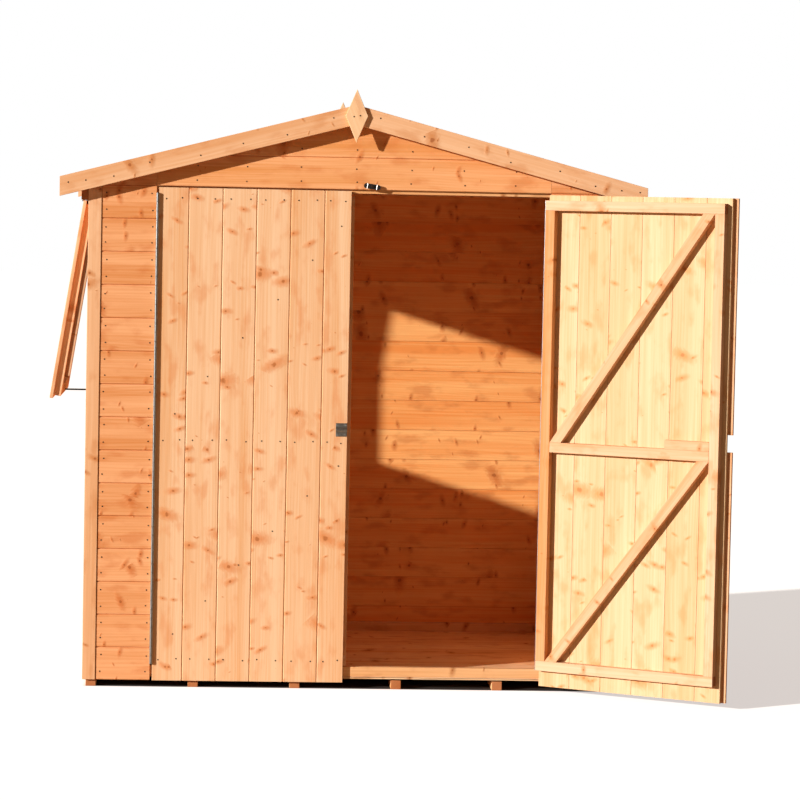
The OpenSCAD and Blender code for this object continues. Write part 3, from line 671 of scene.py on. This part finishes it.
def boarding(name, low, high, cover, axis, outward, rows_from=None):
    """Boards that fill a slab. axis is the way they lie and outward is the way that their face looks."""
    low, high = Vector(low), Vector(high)
    up = Z if abs(axis.z) < 0.5 else (X if abs(outward.x) < 0.5 else Y)
    if abs(outward.z) > 0.5:
        up = Y if abs(axis.x) > 0.5 else X
    length = (high - low).dot(Vector(map(abs, axis)))
    thick = (high - low).dot(Vector(map(abs, outward)))
    bottom = low.dot(up) if rows_from is None else rows_from
    rows = math.ceil((high.dot(up) - bottom) / cover - 0.02)
    first = tongued_board(name, length, cover, thick)
    frame_of = Matrix((axis, -outward, up)).transposed().to_4x4()
    corner = Vector((
        low.x if (axis.x > 0 or up.x > 0 or outward.x < 0) else high.x,
        low.y if (axis.y > 0 or up.y > 0 or outward.y < 0) else high.y,
        low.z if (axis.z > 0 or up.z > 0 or outward.z < 0) else high.z,
    ))
    corner += up * (bottom - corner.dot(up))
    first.data.transform(Matrix.Translation(corner) @ frame_of)
    if frame_of.determinant() < 0:
        turn_inside_out(first)
    made = joined(name, [first] + [copy_of(first, up * cover * i) for i in range(1, rows)])
    cut_away(made, low, -up)
    return cut_away(made, high, up)


COVER = 111.5 * MM
front_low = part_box("front_left_cladding")[0]
gable_low, gable_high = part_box("front_gable_cladding")
ROW_START = front_low.z

# %% [markdown]
# ## The roof's slope
# The boards of every wall end under the roof, so the two planes of the deck's underside trim them. The planes
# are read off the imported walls: the top of the side wall and the peak of the back wall give the slope.
# %% Roof planes
side_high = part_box("left_cladding")[1]
back_low, back_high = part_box("back_cladding")
ridge = Vector((0, 0, back_high.z))
RISE = (ridge.z - side_high.z) / abs(side_high.x)
PITCH = math.atan(RISE)
print(f"roof pitch {math.degrees(PITCH):.2f} degrees, ridge {ridge.z:.3f} m over the ground")


def trim_to_roof(wall):
    for side in (-1, 1):
        cut_away(wall, ridge, Vector((side * math.sin(PITCH), 0, math.cos(PITCH))))
    return wall


# %% [markdown]
# ## Boarded walls
# The front wall has a narrow strip of short boards on each side of the doorway, and long boards over it whose
# ends meet the strips above the door posts. The back and side walls are boarded from edge to edge. A boolean
# cut would break on boards that touch, so the window's opening is sawn out of the left wall by plane cuts.
# %% Front, gable and back walls
for side, node in (("left", "front_left_cladding"), ("right", "front_right_cladding")):
    low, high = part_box(node)
    wall = boarding(f"shiplap_front_{side}", low, high, COVER, X, -Y, ROW_START)
    finish_piece(lay_grain(trim_to_roof(wall), X, -Y), wall_wood, "shed", "cladding_timber", node)

GABLE_COVER = 107 * MM
wall = boarding("shiplap_front_gable", gable_low, gable_high, GABLE_COVER, X, -Y)
wall = lay_grain(trim_to_roof(wall), X, -Y)
finish_piece(wall, gable_wood, "shed", "cladding_timber", "front_gable_cladding")

wall = boarding("shiplap_back", back_low, back_high, COVER, -X, Y, ROW_START)
finish_piece(lay_grain(trim_to_roof(wall), X, Y), inside_wood, "shed", "cladding_timber", "back_cladding")

# %% Side walls and the window's opening
WINDOW_Y = (-521 * MM, -17 * MM)
WINDOW_Z = (970.6 * MM, 1632.6 * MM)


def cut_opening(wall):
    """Saws the wall beside the opening, then takes out the middle piece between its sill and its head."""
    front = cut_away(copy_of(wall), (0, WINDOW_Y[0], 0), Y)
    back = cut_away(copy_of(wall), (0, WINDOW_Y[1], 0), -Y)
    middle = cut_away(cut_away(copy_of(wall), (0, WINDOW_Y[0], 0), -Y), (0, WINDOW_Y[1], 0), Y)
    above = cut_away(copy_of(middle), (0, 0, WINDOW_Z[1]), -Z)
    below = cut_away(middle, (0, 0, WINDOW_Z[0]), Z)
    bpy.data.objects.remove(wall)
    return front, back, above, below


for side, node, way, out in (("left", "left_cladding", -Y, -X), ("right", "right_cladding", Y, X)):
    low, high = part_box(node)
    wall = boarding(f"shiplap_{side}", low, high, COVER, way, out, ROW_START)
    lay_grain(trim_to_roof(wall), Y, out)
    if side == "left":
        wall = joined("shiplap_left", cut_opening(wall))
    finish_piece(wall, wall_wood, "shed", "cladding_timber", node)

# %% [markdown]
# ## Floor and roof boards
# Floor boards lie across the joists, tongued into each other. The roof's boards run from gable to gable on
# each slope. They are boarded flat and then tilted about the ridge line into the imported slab's place.
# %% Floor boards
low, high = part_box("floor_boards")
floor = boarding("floor_boarding", low, high, COVER, X, Z)
finish_piece(lay_grain(floor, X, Z), floor_wood, "shed", "floor_timber", "floor_boards")

# %% Roof boards
DECK = 11.9 * MM
LAY_GAP = 0.1 * MM
deck_low, deck_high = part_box("roof_deck")
slope_length = deck_high.x / math.cos(PITCH)
on_slope = Matrix.Translation((0, 0, ridge.z + LAY_GAP)) @ Matrix.Rotation(PITCH, 4, Y)
slopes = []
for side in (-1, 1):
    low, high = (0.4 * MM, deck_low.y, -DECK), (slope_length, deck_high.y, 0)
    slab = boarding(f"roof_slope_{side}", low, high, COVER, Y, -Z)
    slab.data.transform(on_slope @ Matrix.Translation((0, 0, DECK)))
    if side < 0:
        mirrored(slab, X)
    cut_away(slab, (side * 0.3 * MM, 0, 0), (-side, 0, 0))
    cut_away(slab, (side * deck_high.x, 0, 0), (side, 0, 0))
    slopes.append(slab)
deck = joined("roof_boarding", slopes)
finish_piece(lay_grain(deck, Y, Z), frame_wood, "shed", "framing_timber", "roof_deck")

# %% [markdown]
# ## The doors
# Both doors are drawn shut. Six tongued boards stand side by side on a frame of two stiles, three rails and
# two braces. The right door is then turned open about its hinge, with its grain already laid, so that the
# pattern turns with the wood.
# %% Door boards
DOOR_COVER = 114.2 * MM
LEFT_FIRST, RIGHT_FIRST = 102 * MM, 91 * MM


def door_boarding(name, node, first_edge, turn_back=Matrix.Identity(4)):
    """Upright boards for a shut door. The first one, at its left edge, is cut down to first_edge."""
    corners = [turn_back @ v.co for v in nodes[node].data.vertices]
    low = Vector(min(c[i] for c in corners) for i in range(3))
    high = Vector(max(c[i] for c in corners) for i in range(3))
    made = boarding(name, low, high, DOOR_COVER, Z, -Y, low.x - DOOR_COVER + first_edge)
    return lay_grain(made, Z, -Y), low, high


node = "left_door_boards"
left_boards, door_low, door_high = door_boarding("left_door_boarding", node, LEFT_FIRST)
finish_piece(left_boards, door_wood, "left_door", "door_timber", node)
node = "right_door_boards"
right_boards, right_low, right_high = door_boarding("right_door_boarding", node, RIGHT_FIRST, SHUT)
finish_piece(right_boards, door_inside_wood, "right_door", "door_timber", node, turn=OPEN)

# %% Door frames
for node in ("left_door_stiles", "left_door_rails", "left_door_braces"):
    timber = lay_grain(planed_copy("planed_" + node, node))
    finish_piece(timber, door_frame_wood, "left_door", "door_timber", node)
for node in ("right_door_stiles", "right_door_rails", "right_door_braces", "right_door_lock_block",
             "right_door_cover_strips"):
    shades = {"right_door_stiles": (0.1, 1.0), "right_door_rails": (0.1, 0.1, 0.1)}.get(node, ())
    timber = lay_grain(planed_copy("planed_" + node, node, turn_back=SHUT), tones=shades)
    finish_piece(timber, door_frame_wood, "right_door", "door_timber", node, turn=OPEN)

# %% [markdown]
# ## Piano hinges
# A piano hinge is one long strip: two narrow leaves whose edges are rolled into some fifty short knuckles
# round one pin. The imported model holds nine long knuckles, which turn alike; here they are drawn as fine as
# the real ones. Every second knuckle belongs to the leaf on the jamb, the rest to the leaf on the door.
# %% Piano hinges
KNUCKLES = 51
KNUCKLE_RADIUS, PIN_RADIUS = 5 * MM, 1.5 * MM
leaf_low, leaf_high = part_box("left_door_hinge_leaf")
HINGE_Z = (leaf_low.z, leaf_high.z)
LEAF = 1.5 * MM


def lies_level(edge):
    return abs((edge.verts[0].co - edge.verts[1].co).z) < 0.01 * MM


def hinge_half(name, axis, leaf_x, back_y, first):
    """One leaf with every second knuckle, from the knuckle with the number first."""
    pitch = (HINGE_Z[1] - HINGE_Z[0]) / KNUCKLES
    leaf = box_piece(name, (leaf_x, axis.y, HINGE_Z[0]), (leaf_x + LEAF, back_y, HINGE_Z[1]))
    plane_edges(leaf, 0.3 * MM, segments=1)
    bpy.ops.object.select_all(action="DESELECT")
    bpy.ops.mesh.primitive_cylinder_add(vertices=16, radius=KNUCKLE_RADIUS, depth=pitch - 0.8 * MM)
    knuckle = bpy.context.object
    knuckle.data.transform(Matrix.Translation((axis.x, axis.y, HINGE_Z[0] + pitch / 2)))
    plane_edges(knuckle, 0.5 * MM, lies_level, segments=1)
    rolls = [copy_of(knuckle, Z * pitch * i) for i in range(first, KNUCKLES, 2)]
    bpy.data.objects.remove(knuckle)
    return [leaf] + rolls


left_axis = Vector(joint["left_door"]["pos_m"])
right_axis = Vector(joint["right_door"]["pos_m"])
JAMB, EDGE = 665 * MM, 657 * MM
JAMB_LEAF_BACK, DOOR_LEAF_BACK = -555 * MM, -560 * MM
parts = []
for axis, leaf_x in ((left_axis, -JAMB), (right_axis, JAMB - LEAF)):
    parts += hinge_half("leaf", axis, leaf_x, JAMB_LEAF_BACK, 0)
    pin_length = HINGE_Z[1] - HINGE_Z[0] - 0.6 * MM
    bpy.ops.object.select_all(action="DESELECT")
    bpy.ops.mesh.primitive_cylinder_add(vertices=12, radius=PIN_RADIUS, depth=pin_length)
    pin = bpy.context.object
    pin.data.transform(Matrix.Translation((axis.x, axis.y, sum(HINGE_Z) / 2)))
    parts.append(plane_edges(pin, 0.3 * MM, lies_level))
finish_piece(joined("hinge_leaves_on_jambs", parts), zinc, "shed", "galvanised_steel", "wall_hinge_leaves")
half = joined("hinge_leaf_on_left_door", hinge_half("leaf", left_axis, -EDGE - LEAF, DOOR_LEAF_BACK, 1))
finish_piece(half, zinc, "left_door", "galvanised_steel", "left_door_hinge_leaf")
half = joined("hinge_leaf_on_right_door", hinge_half("leaf", right_axis, EDGE, DOOR_LEAF_BACK, 1))
finish_piece(half, zinc, "right_door", "galvanised_steel", "right_door_hinge_leaf", turn=OPEN)

# %% [markdown]
# ## The window's sash
# The sash is a rebated frame with a wider board in front of it that laps over the wall. Each bar starts as a
# thin box; a cut marks the rebate and the face beside it is drawn out to the bar's full depth. The sash is
# put together shut and then turned open by the 9 degrees at which its stay holds it.
# %% Sash bars and laps
SASH_OPEN = math.radians(9)
SASH_HINGE = (-900.5 * MM, sum(WINDOW_Y) / 2, 1640.6 * MM)
SASH_TURN = Matrix.Translation(SASH_HINGE) @ Matrix.Rotation(SASH_OPEN, 4, "Y")
BAR_WIDTH, BAR_DEPTH, LAP, REBATE, BED = 46 * MM, 24 * MM, 12 * MM, 4 * MM, 8 * MM
SASH_OUT = (520 * MM, 678 * MM)
SASH_IN = (498 * MM, 656 * MM)
TOP_IN = -11 * MM


def rebated_bar(name, length):
    """Stands along Z with its glass edge at y 0, its outer edge at y BAR_WIDTH and its rebate inside."""
    bar = box_piece(name, (0, 0, 0), (REBATE, BAR_WIDTH, length))
    edit(bar)
    bpy.ops.mesh.select_all(action="SELECT")
    bpy.ops.mesh.bisect(plane_co=(0, BED, 0), plane_no=(0, 1, 0))
    bpy.ops.mesh.select_mode(type="FACE")
    bpy.ops.mesh.select_all(action="DESELECT")
    for f in bmesh.from_edit_mesh(bar.data).faces:
        middle = f.calc_center_median()
        f.select = abs(middle.x - REBATE) < 0.01 * MM and middle.y > BED
    bmesh.update_edit_mesh(bar.data)
    bpy.ops.mesh.extrude_region_move(TRANSFORM_OT_translate={"value": (BAR_DEPTH - REBATE, 0, 0)})
    done(bar)
    return plane_edges(bar, 1.2 * MM, segments=2)


bars = []
light = SASH_IN[0] / 2 - BAR_WIDTH
for hand in (-1, 1):
    stile = rebated_bar("stile", SASH_IN[1])
    stile.data.transform(Matrix.Translation((0, light, TOP_IN - SASH_IN[1])))
    bars.append(mirrored(stile, Y) if hand < 0 else stile)
for z, hand in ((TOP_IN - BAR_WIDTH, 1), (TOP_IN - SASH_IN[1] + BAR_WIDTH, -1)):
    rail = rebated_bar("rail", 2 * light - 0.4 * MM)
    rail.data.transform(Matrix.Rotation(math.pi / 2, 4, "X"))
    rail.data.transform(Matrix.Translation((0, light - 0.2 * MM, 0)))
    if hand < 0:
        mirrored(rail, Z)
    rail.data.transform(Matrix.Translation((0, 0, z)))
    bars.append(rail)
lap_width = SASH_OUT[0] / 2 - light
for hand in (-1, 1):
    y = sorted((hand * light, hand * SASH_OUT[0] / 2))
    bars.append(plane_edges(box_piece("lap", (-LAP, y[0], -SASH_OUT[1]), (-0.2 * MM, y[1], 0)), 2 * MM))
for z in ((-lap_width, 0), (-SASH_OUT[1], -SASH_OUT[1] + lap_width)):
    low, high = (-LAP, -light + 0.4 * MM, z[0]), (-0.2 * MM, light - 0.4 * MM, z[1])
    bars.append(plane_edges(box_piece("lap", low, high), 2 * MM))
sash = joined("window_sash_frame", bars)
lay_grain(sash, face=X, tones=(0.0,) * len(bars))
finish_piece(sash, trim_wood, "shed", "trim_timber", "window_sash", turn=SASH_TURN)

# %% [markdown]
# ## Keep, bolt, stay and window hinges
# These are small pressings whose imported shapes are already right. They take rounded edges and their screws.
# A pan-head screw is a short disc: its top is drawn in and raised, and a recess is pressed into it.
# %% Discs with a dished top, and screws


def dished_disc(vertices, radius, height, steps, facing):
    """A short disc that looks along facing. Each step insets its top face and then moves it."""
    bpy.ops.object.select_all(action="DESELECT")
    bpy.ops.mesh.primitive_cylinder_add(vertices=vertices, radius=radius, depth=height)
    disc = bpy.context.object
    mesh = edit(disc, "FACE")
    for f in mesh.faces:
        f.select = f.normal.z > 0.9
    bmesh.update_edit_mesh(disc.data)
    for inset, move in steps:
        bpy.ops.mesh.inset(thickness=inset)
        bpy.ops.transform.translate(value=(0, 0, move))
    done(disc)
    disc.data.transform(facing.to_track_quat("Z", "Y").to_matrix().to_4x4())
    return disc


SCREW_RADIUS, SCREW_HEIGHT = 3.2 * MM, 1.6 * MM
SCREW_TOP = ((SCREW_RADIUS * 0.35, SCREW_HEIGHT * 0.3), (SCREW_RADIUS * 0.3, -SCREW_HEIGHT * 0.5))


def screw_heads(spots):
    head = dished_disc(12, SCREW_RADIUS, SCREW_HEIGHT, SCREW_TOP, -Y)
    heads = [copy_of(head, spot) for spot in spots]
    bpy.data.objects.remove(head)
    return heads


# %% Keep, bolt, stay and window hinges
keep_low, keep_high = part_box("left_door_keep")
keep_middle = (keep_low + keep_high) / 2
SCREW_LIFT = 16 * MM
PLATE_FACE = 2.4 * MM
spots = [(keep_middle.x + x, door_low.y - PLATE_FACE, keep_middle.z + z)
         for x in (-12.5 * MM, 12.5 * MM) for z in (-SCREW_LIFT, SCREW_LIFT)]
keep_plate = planed_copy("keep_plate", "left_door_keep", 0.6 * MM)
keep = joined("keep_with_screws", [keep_plate] + screw_heads(spots))
finish_piece(keep, zinc, "left_door", "galvanised_steel", "left_door_keep")
bolt = planed_copy("bolt_on_plate", "right_door_bolt", 0.7 * MM, turn_back=SHUT)
bolt_x = [v.co.x for v in bolt.data.vertices]
spots = [(x, right_low.y - PLATE_FACE, keep_middle.z + z)
         for x in (min(bolt_x) + 8 * MM, max(bolt_x) - 5 * MM) for z in (-SCREW_LIFT, SCREW_LIFT)]
bolt = joined("bolt_with_screws", [bolt] + screw_heads(spots))
finish_piece(bolt, zinc, "right_door", "galvanised_steel", "right_door_bolt", turn=OPEN)
stay = planed_copy("stay_bar", "window_stay", 0.5 * MM)
finish_piece(stay, enamel, "shed", "black_steel", "window_stay")
sash_hinges = planed_copy("sash_hinges", "window_hinges", 0.4 * MM)
finish_piece(sash_hinges, zinc, "shed", "galvanised_steel", "window_hinges")

# %% [markdown]
# ## The turn button
# The button is pressed from a flat bar with two beads across it that stiffen it. The imported bar is cut across
# on both sides of each bead and along its middle, and the middle line is lifted. The copy is planed by only a
# hair, because its corners are rounded after the beads are in. Each bead carries a painted highlight: its faces
# take near-white steel in place of the lamp's reflection on the black enamel.
# %% Turn button
BUTTON_TILT = math.radians(8)
BEAD_AT, BEAD_HALF, BEAD_HIGH = 16 * MM, 2 * MM, 1.8 * MM
HAIR = 0.0005 * MM
pivot = Vector(joint["turn_button"]["pos_m"])
in_place = Matrix.Translation(pivot) @ Matrix.Rotation(BUTTON_TILT, 4, "Y")
button = planed_copy("beaded_turn_button", "turn_button", HAIR, turn_back=in_place.inverted())
button_front = max(v.co.y for v in button.data.vertices) - 3 * MM


def on_bead(point, reach):
    return abs(abs(point.x) - BEAD_AT) < reach and point.y < button_front


edit(button)
for x in (-BEAD_AT, BEAD_AT):
    for cut in (x - BEAD_HALF, x, x + BEAD_HALF):
        bpy.ops.mesh.select_all(action="SELECT")
        bpy.ops.mesh.bisect(plane_co=(cut, 0, 0), plane_no=(1, 0, 0))
bpy.ops.mesh.select_mode(type="VERT")
bpy.ops.mesh.select_all(action="DESELECT")
for v in bmesh.from_edit_mesh(button.data).verts:
    v.select = on_bead(v.co, 0.1 * MM)
bmesh.update_edit_mesh(button.data)
bpy.ops.transform.translate(value=(0, -BEAD_HIGH, 0))
done(button)
plane_edges(button, 0.7 * MM, lambda e: e.calc_face_angle(0) > math.radians(60), segments=2)
finish_piece(button, enamel, "turn_button", "black_steel", "turn_button", turn=in_place)
# Painted highlight: the faces on each bead take near-white steel in place of the lamp's reflection on the
# enamel.
button.data.materials.append(painted_highlight_steel)
for face in button.data.polygons:
    if on_bead(in_place.inverted() @ face.center, BEAD_HALF):
        face.material_index = 1
screw = planed_copy("turn_button_screw_round", "turn_button_screw", 0.8 * MM)
finish_piece(screw, nail_steel, "shed", "galvanised_steel", "turn_button_screw")

# %% [markdown]
# ## Nails
# The boards are nailed with small flat-headed nails, each of which shows as a dark dot. One head is modelled:
# a short disc whose top is inset and pushed in. It is copied to every spot, never quite in line, because a
# nail gun is held by hand.
# %% One nail head and its copies
NAIL_RADIUS, NAIL_HEIGHT = 2.5 * MM, 1.2 * MM
NAIL_TOP = ((0.9 * MM, -0.5 * MM),)
SHAKE = 3
shake = random.Random("nails")


def nails(name, body, spots, facing, turn=None):
    head = dished_disc(8, NAIL_RADIUS, NAIL_HEIGHT, NAIL_TOP, facing)
    flat = [a for a in (X, Y, Z) if abs(a.dot(facing)) < 0.5]
    heads = [copy_of(head, Vector(s) + sum((a * shake.uniform(-SHAKE, SHAKE) * MM for a in flat), Vector()))
             for s in spots]
    bpy.data.objects.remove(head)
    finish_piece(joined(name, heads), nail_steel, body, "galvanised_steel", turn=turn)


# %% Nails in the walls
PROUD = 0.2 * MM
BOARDS_HIGH = 15
rows = [ROW_START + COVER * (i + 0.5) for i in range(BOARDS_HIGH)]
lift = (-27 * MM, 27 * MM)
front_face, gable_face = front_low.y - PROUD, gable_low.y - PROUD
nails("nails_front_strips", "shed", [
    (x * MM, front_face, z + dz) for x in (-832, -679, 679, 832) for z in rows for dz in lift], -Y)
nails("nails_gable", "shed", [
    (x * MM, gable_face, z * MM) for x in (-530, -365, -180, 5, 190, 370, 545) for z in (1719, 1767)] + [
    (x * MM, gable_face, z * MM) for x in (-180, 5, 190) for z in (1828, 1870)], -Y)
back_face = back_high.y + PROUD
nails("nails_back", "shed", [
    (x * MM, back_face, z + dz) for x in (-832, 0, 832) for z in rows for dz in lift], Y)
for side, out in (("left", -X), ("right", X)):
    low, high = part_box(side + "_cladding")
    face = (low.x if out.x < 0 else high.x) + out.x * PROUD
    spots = [(face, y, z + dz) for y in (-565 * MM, 0, 565 * MM) for z in rows for dz in lift]
    if side == "left":
        clear = (WINDOW_Z[0] - 20 * MM, WINDOW_Z[1] + 20 * MM)
        spots = [s for s in spots if not (s[1] == 0 and clear[0] < s[2] < clear[1])]
    nails(f"nails_{side}", "shed", spots, out)


# %% Nails in the doors


def door_nails(name, body, low, high, first_edge, turn=None):
    """Two nails in each board at each rail, and one at each brace."""
    edges = [low.x] + [low.x + first_edge + DOOR_COVER * i for i in range(6)]
    edges = [e for e in edges if e < high.x - 0.02] + [high.x]
    face = low.y - PROUD
    spots = []
    for a, b in zip(edges, edges[1:]):
        for z in (1656.5 * MM, 842 * MM, 97 * MM):
            spots += [(a + (b - a) * 0.22, face, z), (a + (b - a) * 0.78, face, z)]
        for z0, z1 in ((130 * MM, 810 * MM), (870 * MM, 1625 * MM)):
            share = ((a + b) / 2 - low.x) / (high.x - low.x)
            share = share if name == "nails_left_door" else 1 - share
            spots.append(((a + b) / 2 + 15 * MM, face, z0 + (z1 - z0) * share))
    nails(name, body, spots, -Y, turn=turn)


door_nails("nails_left_door", "left_door", door_low, door_high, LEFT_FIRST)
door_nails("nails_right_door", "right_door", right_low, right_high, RIGHT_FIRST, turn=OPEN)

# %% Nails in the barge boards and finials
barge_low, barge_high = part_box("front_barge_boards")
barge_middle = barge_high.z - 34 * MM
spots = [(side * x * MM, 0, barge_middle - x * MM * RISE + dz)
         for side in (-1, 1) for x, dz in ((80, 0.01), (230, -0.008), (380, 0.0), (520, -0.012), (690, 0.008),
                                           (810, -0.01), (900, 0.0), (960, 0.01))]
nails("nails_front_barge", "shed", [(s[0], barge_low.y - PROUD, s[2]) for s in spots], -Y)
nails("nails_back_barge", "shed", [(s[0], PROUD - barge_low.y, s[2]) for s in spots], Y)
finial_low, finial_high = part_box("finials")
finial_z = (finial_low.z + finial_high.z) / 2
for name, y, out in (("front", finial_low.y - PROUD, -Y), ("back", finial_high.y + PROUD, Y)):
    nails(f"nails_{name}_finial", "shed", [(-11 * MM, y, finial_z), (11 * MM, y, finial_z)], out)

# %% [markdown]
# ## Glass and felt
# The pane and the folded felt sheet already have their real shapes, so they only take a finish.
# %% Finishes for the pane and the felt
for node, material in (("roof_felt", felt), ("window_glass", glass)):
    nodes[node].data.materials.clear()
    nodes[node].data.materials.append(material)

# %% [markdown]
# ## The floor
# The floor is a wide sheet just under the joists. It isn't part of the shed.
# %% Floor sheet
bpy.ops.object.select_all(action="DESELECT")
bpy.ops.mesh.primitive_plane_add(size=80, location=(0, 20, 0))
sheet = bpy.context.object
sheet.name = "floor_sheet"
bpy.ops.object.transform_apply(location=True)
sheet.data.materials.append(pale_floor())
